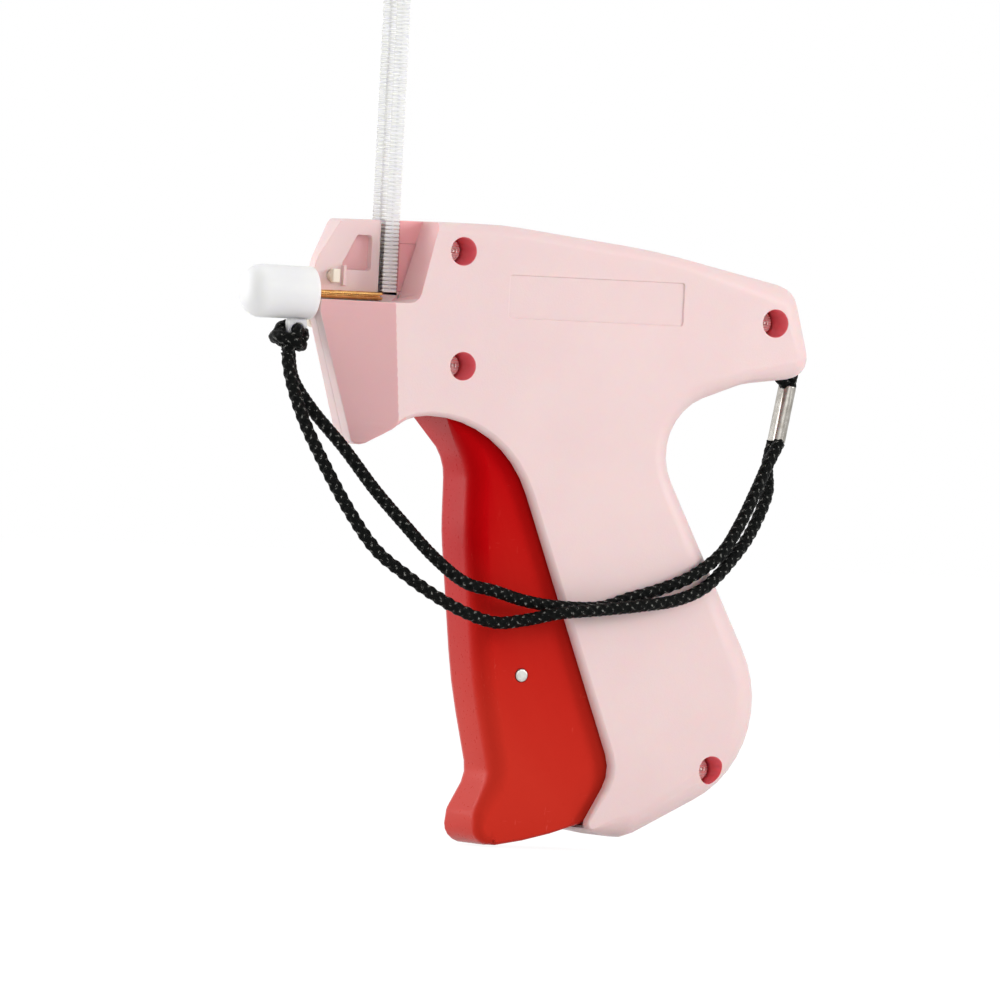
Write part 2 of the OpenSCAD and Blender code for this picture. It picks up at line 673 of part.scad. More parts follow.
// Side-view outline of a spine with bars to both sides
function comb_points(x, h) = concat(
    [for (k = [0:clip_count - 1]) each bar_points(spine_x + spine_half, x[1], clip_row_z(k), h / 2)],
    [for (k = [clip_count - 1:-1:0]) each bar_points(spine_x - spine_half, x[0], clip_row_z(k), -h / 2)]);

module fastener_clip() color("white") {
    top_z = clip_row_z(clip_count - 1);
    half = filament_t / 2;
    rungs = concat([[paddle_y[1], clip_z - half], [paddle_y[1], top_z + half]],
        [for (k = [clip_count - 1:-1:0]) each bar_points(paddle_y[0], 0, clip_row_z(k), -half)]);
    side_plate(comb_points(bar_x, bar_h), -bar_half_y, bar_half_y);
    side_plate(comb_points(paddle_x, paddle_h), paddle_y[0], paddle_y[1]);
    translate([spine_x - half, 0, 0]) rotate([90, 0, 90]) linear_extrude(filament_t) polygon(rungs);
}

// Direction from the foot of the crimp to its top
crimp_along = [sin(crimp_lean), 0, cos(crimp_lean)];
crimp_foot = crimp_top - crimp_len * crimp_along;

module lanyard_strand_upper() color("black") {
    end = crimp_foot + [0, -strand_step_y, 0];
    tube(concat(upper_route, [end]), cord_r, 8, [0, 1, 0], [0, 0, -1], crimp_along);
}

module lanyard_strand_lower() color("black") {
    end = crimp_foot + [0, strand_step_y, 0];
    tube(concat(lower_route, [end]), cord_r, 8, [0, 1, 0], [0, 0, -1], crimp_along);
}

module lanyard_knot() color("black") {
    tube(smooth_route(knot_route), cord_r, 8, [1, 0, 0], [0, 0, 1], [0, 0, -1]);
}

module lanyard_crimp() color("silver") {
    translate(crimp_foot) rotate([0, crimp_lean, 0]) linear_extrude(crimp_len) union() {
        square([2 * crimp_half[0], 2 * (crimp_half[1] - crimp_half[0])], center = true);
        for (s = [-1, 1]) translate([0, s * (crimp_half[1] - crimp_half[0])]) circle(crimp_half[0]);
    }
}

// Cord through the tail's rear corner, as thick as r
module tail_loop(r) {
    side = [cos(crimp_lean), 0, -sin(crimp_lean)];
    start = crimp_top + leg_step[0] * side + [0, leg_step[1], 0];
    end = crimp_top - leg_step[0] * side - [0, leg_step[1], 0];
    tube(smooth_route(concat([start], loop_route, [end])), r, 8, [0, 1, 0.2], crimp_along, -crimp_along);
}

module lanyard_tail_loop() color("black") tail_loop(cord_r);

// Moves the drawing frame to the grip centre
module place() translate(-grip_centre) children();

place() housing_left();
place() housing_right();
place() housing_screws();
place() trigger();
place() trigger_pin();
place() trigger_pivot_pin();
place() drive_lever();
place() lever_pivot_pin();
place() return_spring();
place() spring_anchor_pin();
place() slider();
place() slider_pin();
place() push_rod();
place() feed_wheel();
place() feed_wheel_axle();
place() feed_cover();
place() feed_pawl();
place() pawl_pin();
place() pawl_spring();
place() needle();
place() needle_hub();
place() needle_lock();
place() needle_cap();
place() fastener_clip();
place() lanyard_strand_upper();
place() lanyard_strand_lower();
place() lanyard_knot();
place() lanyard_crimp();
place() lanyard_tail_loop();
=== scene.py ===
"""Looks of a fabric tagging tool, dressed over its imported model."""

import logging
import math
from collections.abc import Callable
from dataclasses import dataclass
from enum import Enum

import bpy
import numpy as np
from mathutils import Matrix, Quaternion, Vector


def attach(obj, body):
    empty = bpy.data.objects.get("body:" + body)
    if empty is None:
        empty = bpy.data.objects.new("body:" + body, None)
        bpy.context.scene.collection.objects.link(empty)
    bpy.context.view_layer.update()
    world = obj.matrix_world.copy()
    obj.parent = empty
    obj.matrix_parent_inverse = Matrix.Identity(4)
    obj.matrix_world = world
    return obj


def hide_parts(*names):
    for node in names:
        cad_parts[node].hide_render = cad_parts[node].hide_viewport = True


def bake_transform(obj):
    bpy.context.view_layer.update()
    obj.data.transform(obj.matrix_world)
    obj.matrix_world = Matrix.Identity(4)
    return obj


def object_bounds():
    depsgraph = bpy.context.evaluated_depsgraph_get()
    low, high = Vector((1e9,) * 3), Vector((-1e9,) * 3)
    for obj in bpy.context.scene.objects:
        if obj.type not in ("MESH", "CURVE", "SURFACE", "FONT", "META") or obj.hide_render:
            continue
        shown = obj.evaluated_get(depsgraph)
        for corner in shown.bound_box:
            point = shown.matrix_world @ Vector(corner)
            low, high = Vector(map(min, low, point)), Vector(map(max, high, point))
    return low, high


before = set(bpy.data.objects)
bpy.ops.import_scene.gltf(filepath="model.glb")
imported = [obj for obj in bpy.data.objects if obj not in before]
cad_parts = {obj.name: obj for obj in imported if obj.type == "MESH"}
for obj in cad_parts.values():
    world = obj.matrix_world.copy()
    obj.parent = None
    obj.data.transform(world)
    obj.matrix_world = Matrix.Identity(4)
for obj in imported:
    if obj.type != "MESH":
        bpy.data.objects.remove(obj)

LOG = logging.getLogger("tagging_tool")
CAD_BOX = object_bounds()
MM = 0.001
GRIP_CENTRE = Vector((58.0, 0.0, -72.0))
PAINTED_LIGHT_MARK = "tone"
CREST_MARK = "ply_crest"
FINE_STEPS = 3

Colour = tuple[float, float, float]
Place = tuple[float, float, float]
Range = tuple[float, float]
Block = tuple[Place, Place, float]
Socket = bpy.types.NodeSocket


def at(x: float, y: float, z: float) -> Vector:
    """Turn millimetres from the needle's rear end into metres from the grip centre.

    Args:
        x: Distance towards the tail.
        y: Distance towards the right-hand side.
        z: Height.

    Returns:
        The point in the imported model's frame.
    """
    return (Vector((x, y, z)) - GRIP_CENTRE) * MM


class Body(Enum):
    """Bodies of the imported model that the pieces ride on."""

    HOUSING = "housing"
    TRIGGER = "trigger"
    NEEDLE_LOCK = "needle_lock"
    NEEDLE_CAP = "needle_cap"
    CLIP = "fastener_clip"


class NodeBoard:
    """Node tree of one material, with short calls for the nodes that the finishes share."""

    def __init__(self, name: str) -> None:
        """Start a material that holds only its shader.

        Args:
            name: Name of the material.
        """
        self.material = bpy.data.materials.new(name)
        self.material.use_nodes = True
        self.tree = self.material.node_tree
        self.shader = self.tree.nodes["Principled BSDF"]

    def add(self, kind: str, **settings: object) -> bpy.types.Node:
        """Add a node.

        Args:
            kind: Blender's name of the node type.
            **settings: Values for the node's own properties.

        Returns:
            The new node.
        """
        node = self.tree.nodes.new(kind)
        for key, value in settings.items():
            setattr(node, key, value)
        return node

    def link(self, source: Socket, target: Socket) -> None:
        """Join an output to an input."""
        self.tree.links.new(source, target)

    def plain(self, **values: object) -> None:
        """Set sockets of the shader that are the same all over; IOR_Level stands for IOR Level."""
        for key, value in values.items():
            self.shader.inputs[key.replace("_", " ")].default_value = value

    def surface(self, colour: Socket, rough: Socket) -> None:
        """Give the shader its colour and its roughness."""
        self.link(colour, self.shader.inputs["Base Color"])
        self.link(rough, self.shader.inputs["Roughness"])

    def place(
        self, stretch: Place = (1, 1, 1), turn: Place = (0, 0, 0), coordinate: str = "Object"
    ) -> Socket:
        """Give the coordinates of a pattern.

        Args:
            stretch: Scale of the pattern along each axis.
            turn: Turn of the pattern in degrees.
            coordinate: Output of the Texture Coordinate node.

        Returns:
            The mapped coordinates.
        """
        mapping = self.add("ShaderNodeMapping")
        mapping.inputs["Scale"].default_value = stretch
        mapping.inputs["Rotation"].default_value = [math.radians(a) for a in turn]
        self.link(self.add("ShaderNodeTexCoord").outputs[coordinate], mapping.inputs["Vector"])
        return mapping.outputs["Vector"]

    def noise(self, per_metre: float, detail: float = 2.0, where: Socket | None = None) -> Socket:
        """Make a cloudy value.

        Args:
            per_metre: Scale of the pattern.
            detail: Number of finer octaves.
            where: Coordinates, or the plain ones if left out.

        Returns:
            A value from 0 to 1.
        """
        node = self.add("ShaderNodeTexNoise")
        node.inputs["Scale"].default_value = per_metre
        node.inputs["Detail"].default_value = detail
        self.link(where or self.place(), node.inputs["Vector"])
        return node.outputs["Fac"]

    def levels(self, value: Socket, old: Range, new: Range = (0, 1)) -> Socket:
        """Spread a value from one range over another, clamped at its ends.

        Args:
            value: The value.
            old: Range that it comes from.
            new: Range that it is spread over.

        Returns:
            The spread value.
        """
        node = self.add("ShaderNodeMapRange")
        node.inputs["From Min"].default_value, node.inputs["From Max"].default_value = old
        node.inputs["To Min"].default_value, node.inputs["To Max"].default_value = new
        self.link(value, node.inputs["Value"])
        return node.outputs["Result"]

    def around(self, value: Socket, middle: float, less: float, more: float) -> Socket:
        """Spread the middle of a cloudy value from some way below a number to some way above it."""
        return self.levels(value, (0.3, 0.7), (middle - less, middle + more))

    def reckon(self, operation: str, a: Socket, b: Socket | float) -> Socket:
        """Combine two values with one Math operation.

        Args:
            operation: Blender's name of the operation.
            a: First value.
            b: Second value, or a plain number.

        Returns:
            The result.
        """
        node = self.add("ShaderNodeMath", operation=operation)
        self.link(a, node.inputs[0])
        if isinstance(b, (int, float)):
            node.inputs[1].default_value = b
        else:
            self.link(b, node.inputs[1])
        return node.outputs["Value"]

    def tint(self, share: Socket, low: Socket | Colour, high: Colour) -> Socket:
        """Mix two colours.

        Args:
            share: Part of the second colour, from 0 to 1.
            low: Colour, or the output that gives it, where the share is 0.
            high: Colour where the share is 1.

        Returns:
            The mixed colour.
        """
        node = self.add("ShaderNodeMix", data_type="RGBA")
        self.link(share, node.inputs["Factor"])
        if isinstance(low, tuple):
            node.inputs["A"].default_value = (*low, 1)
        else:
            self.link(low, node.inputs["A"])
        node.inputs["B"].default_value = (*high, 1)
        return node.outputs["Result"]

    def marked(self, name: str) -> Socket:
        """Give a value that the piece's own mesh holds under a name."""
        return self.add("ShaderNodeAttribute", attribute_name=name).outputs["Fac"]

    def relief(self, height: Socket, depth_mm: float) -> None:
        """Raise the surface by a height.

        Args:
            height: The height, from 0 to 1.
            depth_mm: How deep the relief is.
        """
        node = self.add("ShaderNodeBump")
        node.inputs["Strength"].default_value = 1
        node.inputs["Distance"].default_value = depth_mm * MM
        self.link(height, node.inputs["Height"])
        self.link(node.outputs["Normal"], self.shader.inputs["Normal"])


@dataclass(frozen=True)
class MouldedPlastic:
    """Injection-moulded plastic with a fine grain, soft mottling, scratches, and painted light where the
    mesh marks it.
    """

    name: str
    colour: Colour
    shade: Colour
    roughness: float
    grain_mm: float
    grain_depth_mm: float
    scratch: Colour | None = None
    glow_mm: float = 0.0
    shine: float = 0.5
    gleam: Colour = (1.0, 1.0, 1.0)
    painted_light_colour: Colour | None = None
    mottle_per_metre: float = 45
    mottle_band: Range = (0.38, 0.64)
    long_scratch: Place = (900, 5200, 260)
    cross_scratch: Place = (260, 5200, 2600)
    scratch_band: Range = (0.69, 0.76)
    worn_band: Range = (0.5, 0.62)

    def make(self) -> bpy.types.Material:
        """Build the material.

        Returns:
            The finished material.
        """
        board = NodeBoard(self.name)
        mottling = board.levels(board.noise(self.mottle_per_metre, 3), self.mottle_band)
        grain = board.noise(1 / (self.grain_mm * MM), 3)
        colour = board.tint(mottling, self.colour, self.shade)
        # Painted light: where the mesh marks it, the colour moves towards a second colour, painted shade in
        # the housing's recesses and holes and painted sheen on the trigger's lower part
        if self.painted_light_colour:
            colour = board.tint(board.marked(PAINTED_LIGHT_MARK), colour, self.painted_light_colour)
        rough = board.around(grain, self.roughness, 0.06, 0.06)
        height = grain
        if self.scratch:
            streaks = board.noise(1, 2, board.place(self.long_scratch, (0, 34, 0)))
            fine = board.noise(1, 2, board.place(self.cross_scratch, (0, -20, 0)))
            patches = board.levels(board.noise(70, 2), self.worn_band)
            marks = board.levels(board.reckon("MAXIMUM", streaks, fine), self.scratch_band, (0, 0.55))
            marks = board.reckon("MULTIPLY", marks, patches)
            colour = board.tint(marks, colour, self.scratch)
            rough = board.reckon("ADD", rough, board.levels(marks, (0, 1), (0, 0.25)))
            height = board.reckon("SUBTRACT", grain, marks)
        board.surface(colour, rough)
        board.plain(IOR=1.49, Specular_IOR_Level=self.shine, Specular_Tint=(*self.gleam, 1))
        if self.glow_mm:
            board.plain(Subsurface_Weight=0.4, Subsurface_Scale=self.glow_mm * MM)
        board.relief(height, self.grain_depth_mm)
        return board.material


@dataclass(frozen=True)
class FrostedPlastic:
    """Milky plastic that lets some light through."""

    name: str
    colour: Colour
    shade: Colour
    clear: float
    roughness: float
    glow_mm: float
    body: float = 1.0
    cloud_per_metre: float = 160
    cloud_band: Range = (0.35, 0.65)
    frost_per_metre: float = 5200
    frost_depth_mm: float = 0.01

    def make(self) -> bpy.types.Material:
        """Build the material.

        Returns:
            The finished material.
        """
        board = NodeBoard(self.name)
        cloud = board.levels(board.noise(self.cloud_per_metre, 3), self.cloud_band)
        frost = board.noise(self.frost_per_metre, 2)
        colour = board.tint(cloud, self.colour, self.shade)
        board.surface(colour, board.around(frost, self.roughness, 0.05, 0.05))
        board.plain(IOR=1.48, Transmission_Weight=self.clear, Alpha=self.body)
        board.plain(Subsurface_Weight=1.0, Subsurface_Scale=self.glow_mm * MM)
        board.plain(Subsurface_Radius=(1, 1, 0.9))
        board.relief(frost, self.frost_depth_mm)
        return board.material


@dataclass(frozen=True)
class PlainMetal:
    """Metal with faint drawing marks along one axis and dull patches."""

    name: str
    colour: Colour
    shade: Colour
    roughness: float
    stretch: Place = (300, 300, 6000)
    depth_mm: float = 0.004
    dull_per_metre: float = 420
    dull_band: Range = (0.4, 0.66)

    def make(self) -> bpy.types.Material:
        """Build the material.

        Returns:
            The finished material.
        """
        board = NodeBoard(self.name)
        marks = board.noise(1, 2, board.place(self.stretch))
        dull = board.levels(board.noise(self.dull_per_metre, 3), self.dull_band)
        colour = board.tint(dull, self.colour, self.shade)
        board.surface(colour, board.around(marks, self.roughness, 0.06, 0.08))
        board.plain(Metallic=1.0)
        board.relief(marks, self.depth_mm)
        return board.material


@dataclass(frozen=True)
class BraidedCord:
    """Black plaited polyester, whose filaments run along the plies, with painted highlights as light specks
    on the ply crests.
    """

    name: str
    colour: Colour
    shade: Colour
    painted_glint: Colour
    roughness: float
    fibre_lean: float = 32
    fibre_bands: float = 14
    fibre_wander: float = 1.5
    fibre_depth_mm: float = 0.05
    fuzz_per_metre: float = 2600
    fuzz_band: Range = (0.35, 0.7)
    painted_glint_per_metre: float = 2400
    painted_glint_band: Range = (0.5, 0.58)
    crest_band: Range = (0.82, 0.97)

    def make(self) -> bpy.types.Material:
        """Build the material.

        Returns:
            The finished material.
        """
        board = NodeBoard(self.name)
        fibres = []
        for lean in (self.fibre_lean, -self.fibre_lean):
            wave = board.add("ShaderNodeTexWave", wave_type="BANDS", bands_direction="X")
            wave.inputs["Scale"].default_value = self.fibre_bands
            wave.inputs["Distortion"].default_value = self.fibre_wander
            board.link(board.place((1, 1, 1), (0, 0, lean), "UV"), wave.inputs["Vector"])
            fibres.append(wave.outputs["Fac"])
        strands = board.reckon("MAXIMUM", fibres[0], fibres[1])
        fuzz = board.levels(board.noise(self.fuzz_per_metre, 3), self.fuzz_band)
        # Painted highlight: light specks on the crests of the plies, standing in for glints of the lamps
        painted_glint = board.levels(board.noise(self.painted_glint_per_metre, 2), self.painted_glint_band)
        crest = board.levels(board.marked(CREST_MARK), self.crest_band)
        painted_glint = board.reckon("MULTIPLY", painted_glint, crest)
        colour = board.tint(fuzz, self.colour, self.shade)
        rough = board.levels(strands, (0, 1), (self.roughness + 0.12, self.roughness - 0.08))
        board.surface(board.tint(painted_glint, colour, self.painted_glint), rough)
        board.plain(Specular_IOR_Level=0.05, IOR=1.5)
        board.relief(strands, self.fibre_depth_mm)
        return board.material


class Finish(Enum):
    """Every finish on the tool, named for what wears it."""

    HOUSING = MouldedPlastic(
        "pink_housing",
        colour=(0.775, 0.595, 0.585),
        shade=(0.76, 0.575, 0.57),
        roughness=0.46,
        grain_mm=0.32,
        grain_depth_mm=0.028,
        glow_mm=1.2,
        # Painted shade: the deeper pink laid in the recesses and screw holes
        painted_light_colour=(0.92, 0.22, 0.26),
    )
    TRIGGER = MouldedPlastic(
        "red_trigger",
        colour=(0.46, 0.002, 0.004),
        shade=(0.42, 0.0015, 0.003),
        roughness=0.32,
        grain_mm=0.9,
        grain_depth_mm=0.004,
        scratch=(0.68, 0.09, 0.07),
        shine=0.12,
        gleam=(1.0, 0.03, 0.03),
        # Painted sheen: the lighter, oranger red laid on the trigger's lower part
        painted_light_colour=(0.54, 0.03, 0.017),
    )
    LEVER = MouldedPlastic("grey_lever", (0.3, 0.3, 0.31), (0.26, 0.26, 0.27), 0.5, 0.4, 0.015)
    FEED = MouldedPlastic("cream_feed", (0.85, 0.83, 0.76), (0.8, 0.78, 0.7), 0.45, 0.4, 0.012)
    LOCK = MouldedPlastic("cream_lock", (0.82, 0.74, 0.62), (0.78, 0.69, 0.57), 0.45, 0.4, 0.012)
    CAP = FrostedPlastic("frosted_cap", (0.99, 0.995, 0.97), (0.97, 0.975, 0.945), 0.15, 0.5, 2.0)
    CLIP = FrostedPlastic("clear_clip", (0.99, 0.99, 0.975), (0.96, 0.97, 0.95), 0.0, 0.4, 0.12, body=0.8)
    STEEL = PlainMetal("dull_steel", (0.56, 0.56, 0.53), (0.42, 0.41, 0.39), 0.34)
    SCREW = PlainMetal("bright_screws", (0.92, 0.9, 0.87), (0.7, 0.68, 0.66), 0.26)
    SPRING = PlainMetal("spring_steel", (0.56, 0.56, 0.58), (0.45, 0.45, 0.47), 0.3)
    BRASS = PlainMetal("needle_brass", (0.86, 0.5, 0.18), (0.74, 0.4, 0.13), 0.24, (500, 6000, 6000))
    CRIMP = PlainMetal("bright_crimp", (0.4, 0.38, 0.35), (0.27, 0.25, 0.22), 0.22, (3000, 3000, 120))
    CORD = BraidedCord(
        "black_cord",
        colour=(0.0015, 0.002, 0.0018),
        shade=(0.005, 0.0055, 0.005),
        # Colour of the painted highlights on the ply crests
        painted_glint=(0.26, 0.26, 0.24),
        roughness=0.45,
    )


class FinishShelf:
    """Materials that are made once and shared."""

    def __init__(self) -> None:
        """Start with nothing made."""
        self.made: dict[Finish, bpy.types.Material] = {}

    def dress(self, piece: bpy.types.Object, finish: Finish) -> None:
        """Give a piece one finish all over.

        Args:
            piece: The piece.
            finish: What it wears.
        """
        if finish not in self.made:
            self.made[finish] = finish.value.make()
        if not piece.material_slots:
            piece.data.materials.append(self.made[finish])
        for held in piece.material_slots:
            held.material = self.made[finish]


class Bench:
    """Hand tools that work on one piece at a time."""

    @staticmethod
    def clear() -> None:
        """Leave edit mode and select nothing."""
        if bpy.context.object and bpy.context.object.mode != "OBJECT":
            bpy.ops.object.mode_set(mode="OBJECT")
        bpy.ops.object.select_all(action="DESELECT")

    @staticmethod
    def take(piece: bpy.types.Object) -> None:
        """Select one piece and make it active.

        Args:
            piece: The piece.
        """
        Bench.clear()
        piece.select_set(True)
        bpy.context.view_layer.objects.active = piece

    @staticmethod
    def edit(piece: bpy.types.Object) -> None:
        """Open a piece in edit mode with all of it selected.

        Args:
            piece: The piece.
        """
        Bench.take(piece)
        bpy.ops.object.mode_set(mode="EDIT")
        bpy.ops.mesh.select_all(action="SELECT")

    @staticmethod
    def pick(piece: bpy.types.Object, wanted: Callable[[Vector], bool]) -> None:
        """Select only the points of an open piece that pass a test.

        Args:
            piece: The piece.
            wanted: Tells from a point's place whether it is selected.
        """
        bpy.ops.object.mode_set(mode="OBJECT")
        for part in (piece.data.polygons, piece.data.edges):
            part.foreach_set("select", [False] * len(part))
        piece.data.vertices.foreach_set("select", [wanted(v.co) for v in piece.data.vertices])
        bpy.ops.object.mode_set(mode="EDIT")

    @staticmethod
    def spots(mesh: bpy.types.Mesh) -> np.ndarray:
        """Give every point of a mesh in millimetres from the needle's rear end."""
        return np.array([v.co for v in mesh.vertices]) / MM + np.array(GRIP_CENTRE)

    @staticmethod
    def mark(mesh: bpy.types.Mesh, name: str, values: np.ndarray, domain: str = "POINT") -> None:
        """Write one value for each point, or each face, of a mesh under a name."""
        mesh.attributes.new(name, "FLOAT", domain).data.foreach_set("value", values.ravel())

    @staticmethod
    def settle(piece: bpy.types.Object) -> None:
        """Put a piece's place, turn and scale into its mesh."""
        Bench.take(piece)
        bpy.ops.object.transform_apply(location=True, rotation=True, scale=True)

    @staticmethod
    def smooth(piece: bpy.types.Object, degrees: float = 35) -> None:
        """Shade a piece smooth, with sharp edges past an angle."""
        Bench.take(piece)
        bpy.ops.object.shade_smooth_by_angle(angle=math.radians(degrees))

    @staticmethod
    def apply(piece: bpy.types.Object, kind: str, **settings: object) -> None:
        """Add a modifier and apply it.

        Args:
            piece: The piece.
            kind: Blender's name of the modifier type.
            **settings: Values of the modifier.
        """
        modifier = piece.modifiers.new(kind.lower(), kind)
        for key, value in settings.items():
            setattr(modifier, key, value)
        Bench.take(piece)
        bpy.ops.object.modifier_apply(modifier=modifier.name)

    @staticmethod
    def copy_node(node: str, name: str) -> bpy.types.Object:
        """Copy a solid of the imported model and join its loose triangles.

        Args:
            node: Name of the solid.
            name: Name of the new piece.

        Returns:
            A merged copy, with flat areas as whole faces.
        """
        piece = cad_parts[node].copy()
        piece.data = piece.data.copy()
        piece.name = piece.data.name = name
        for key in list(piece.keys()):
            del piece[key]
        piece.parent = None
        bpy.context.scene.collection.objects.link(piece)
        Bench.edit(piece)
        bpy.ops.mesh.remove_doubles(threshold=0.002 * MM)
        bpy.ops.mesh.dissolve_limited(angle_limit=math.radians(0.3))
        Bench.clear()
        return piece

    @staticmethod
    def soften(
        piece: bpy.types.Object, edge_mm: float, degrees: float = 32, steps: int = 2
    ) -> None:
        """Round the sharp edges of a piece, keep its flat faces flat and split the many-sided ones.

        Args:
            piece: The piece.
            edge_mm: Width of the rounding.
            degrees: Angle past which an edge is rounded.
            steps: Faces across each rounding.
        """
        Bench.smooth(piece, 180)
        Bench.apply(
            piece,
            "BEVEL",
            width=edge_mm * MM,
            segments=steps,
            limit_method="ANGLE",
            angle_limit=math.radians(degrees),
            use_clamp_overlap=False,
        )
        Bench.apply(piece, "WEIGHTED_NORMAL", weight=80, keep_sharp=True)
        Bench.apply(
            piece, "TRIANGULATE", ngon_method="CLIP", min_vertices=5, keep_custom_normals=True
        )

    @staticmethod
    def turned(name: str, profile: list[tuple[float, float]], sides: int) -> bpy.types.Object:
        """Turn a closed form: a circle is extruded from station to station and scaled.

        Args:
            name: Name of the piece.
            profile: Stations along the axis and their radii, in millimetres.
            sides: Sides of the circle.

        Returns:
            The form, along +Z from the origin, in metres.
        """
        Bench.clear()
        bpy.ops.mesh.primitive_circle_add(
            vertices=sides, radius=profile[0][1] * MM, location=(0, 0, profile[0][0] * MM)
        )
        piece = bpy.context.object
        piece.name = piece.data.name = name
        Bench.settle(piece)
        Bench.edit(piece)
        for (z0, r0), (z1, r1) in zip(profile, profile[1:]):
            bpy.ops.mesh.extrude_region_move(TRANSFORM_OT_translate={"value": (0, 0, (z1 - z0) * MM)})
            bpy.ops.transform.resize(value=(r1 / r0, r1 / r0, 1), center_override=(0, 0, z1 * MM))
        bpy.ops.mesh.select_all(action="DESELECT")
        bpy.ops.mesh.select_non_manifold()
        bpy.ops.mesh.fill_holes(sides=0)
        bpy.ops.mesh.select_all(action="SELECT")
        bpy.ops.mesh.normals_make_consistent(inside=False)
        Bench.clear()
        return piece

    @staticmethod
    def join(pieces: list[bpy.types.Object], name: str) -> bpy.types.Object:
        """Join pieces into the first one.

        Args:
            pieces: The pieces.
            name: Name of the joined piece.

        Returns:
            The joined piece.
        """
        Bench.clear()
        for piece in pieces:
            piece.select_set(True)
        bpy.context.view_layer.objects.active = pieces[0]
        bpy.ops.object.join()
        pieces[0].name = pieces[0].data.name = name
        return pieces[0]


@dataclass
class SubAssembly:
    """Part of the tool that is built and dressed together."""

    shelf: FinishShelf

    def fit(self, piece: bpy.types.Object, body: Body, nodes: list[str], slot: str, finish: Finish) -> None:
        """Dress a piece, seat it on its body and let it stand for its solids.

        Args:
            piece: The finished piece.
            body: Body that it rides on.
            nodes: Solids that it stands for.
            slot: Material slot of the record; not used.
            finish: What it wears.
        """
        self.shelf.dress(piece, finish)
        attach(piece, body.value)
        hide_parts(*nodes)
        LOG.info("%s: %d faces", piece.name, len(piece.data.polygons))


@dataclass(frozen=True)
class Recess:
    """Box of the housing in which the faces that look one way take painted shade, a deeper pink that stands
    in for light bouncing between the walls.
    """

    low: Place
    high: Place
    facing: Place
    tone: float


@dataclass
class Housing(SubAssembly):
    """Two moulded shells, the feed cover and the screws."""

    edge_mm: float = 0.18
    edge_degrees: float = 27
    screw_edge_mm: float = 0.18
    seam_reach_mm: float = 0.02
    hole_reach_mm: float = 3.2
    hole_y_mm: Range = (-12.9, -3.3)
    facing_least: float = 0.3
    inward_least: float = -0.01
    screw_axes: tuple[Range, ...] = ((13.8, 11), (15, -14.7), (92.4, -1.8), (82.1, -103.2))
    # Cheek, rear wall of the pocket, back of the pocket beside the clip, and window, each with its share of
    # painted shade
    recesses: tuple[Recess, ...] = (
        Recess((-20, -12.94, -46), (2, -4.05, -1.3), (-0.5, -0.86, 0), 0.3),
        Recess((3, -12.94, -1.1), (12, 0.8, 19), (-1, 0, 0), 0.3),
        Recess((3.2, 0.4, -1.1), (12, 1.4, 19), (0, -1, 0), 0.5),
        Recess((-10, 1.05, 5), (-2, 3.4, 14), (0, -1, 0), 0.3),
    )

    def build(self) -> None:
        """Make and dress the shells, the cover and the screws."""
        for node in ("housing_left", "housing_right", "feed_cover"):
            shell = Bench.copy_node(node, f"{node}_shell")
            self.split_seam(shell)
            Bench.soften(shell, self.edge_mm, self.edge_degrees)
            # Painted shade: mark the recesses and screw holes for a deeper pink
            self.mark_painted_shade(shell.data)
            self.fit(shell, Body.HOUSING, [node], "housing_plastic", Finish.HOUSING)
        screws = Bench.copy_node("housing_screws", "cross_recess_screws")
        Bench.soften(screws, self.screw_edge_mm)
        self.fit(screws, Body.HOUSING, ["housing_screws"], "steel", Finish.SCREW)

    def split_seam(self, shell: bpy.types.Object) -> None:
        """Split the wide faces on the parting plane into triangles, so that rounding keeps them flat.

        Args:
            shell: A shell whose edges aren't rounded yet.
        """
        Bench.edit(shell)
        Bench.pick(shell, lambda place: abs(place.y) < self.seam_reach_mm * MM)
        bpy.ops.mesh.quads_convert_to_tris(ngon_method="CLIP")
        Bench.clear()

    def mark_painted_shade(self, mesh: bpy.types.Mesh) -> None:
        """Mark the faces of recesses and screw holes for painted shade, a deeper pink that stands in for
        light bouncing between the walls.

        Args:
            mesh: Mesh of a shell.
        """
        spots = np.array([face.center for face in mesh.polygons]) / MM + np.array(GRIP_CENTRE)
        facing = np.array([face.normal for face in mesh.polygons])
        painted_shade_values = np.zeros(len(spots))
        for recess in self.recesses:
            held = np.all((spots > recess.low) & (spots < recess.high), axis=1)
            painted_shade_values[held & (facing @ recess.facing > self.facing_least)] = recess.tone
        # Screw holes take the full painted shade
        for x, z in self.screw_axes:
            inward = (np.array((x, 0, z)) - spots) * (1, 0, 1)
            held = np.linalg.norm(inward, axis=1) < self.hole_reach_mm
            held &= np.sum(inward * facing, axis=1) > self.inward_least
            held &= (spots[:, 1] > self.hole_y_mm[0]) & (spots[:, 1] < self.hole_y_mm[1])
            painted_shade_values[held] = 1
        Bench.mark(mesh, PAINTED_LIGHT_MARK, painted_shade_values, "FACE")


